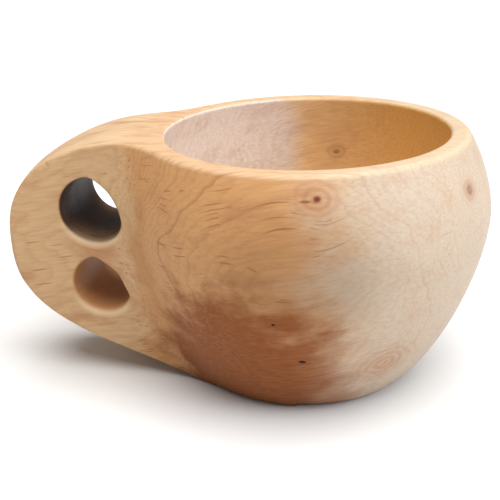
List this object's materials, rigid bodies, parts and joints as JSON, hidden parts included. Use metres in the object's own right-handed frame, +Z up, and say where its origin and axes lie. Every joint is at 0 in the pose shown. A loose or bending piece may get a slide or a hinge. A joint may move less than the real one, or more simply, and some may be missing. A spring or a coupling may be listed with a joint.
{
  "type": "kuksa wooden cup",
  "caption": "Round-bellied drinking cup carved from one block of wood, with a flat-sided fin handle pierced by finger holes.",
  "frame": {"origin": "middle of the flat foot, on the axis of the bowl", "axes": "+Z up along the axis of the bowl, handle towards -X, finger holes along Y"},
  "size_m": [0.1471, 0.1094, 0.0762],
  "materials": {
    "birch": "satin, oiled"
  },
  "bodies": {
    "root": {"cup": "birch"}
  },
  "joints": []
}
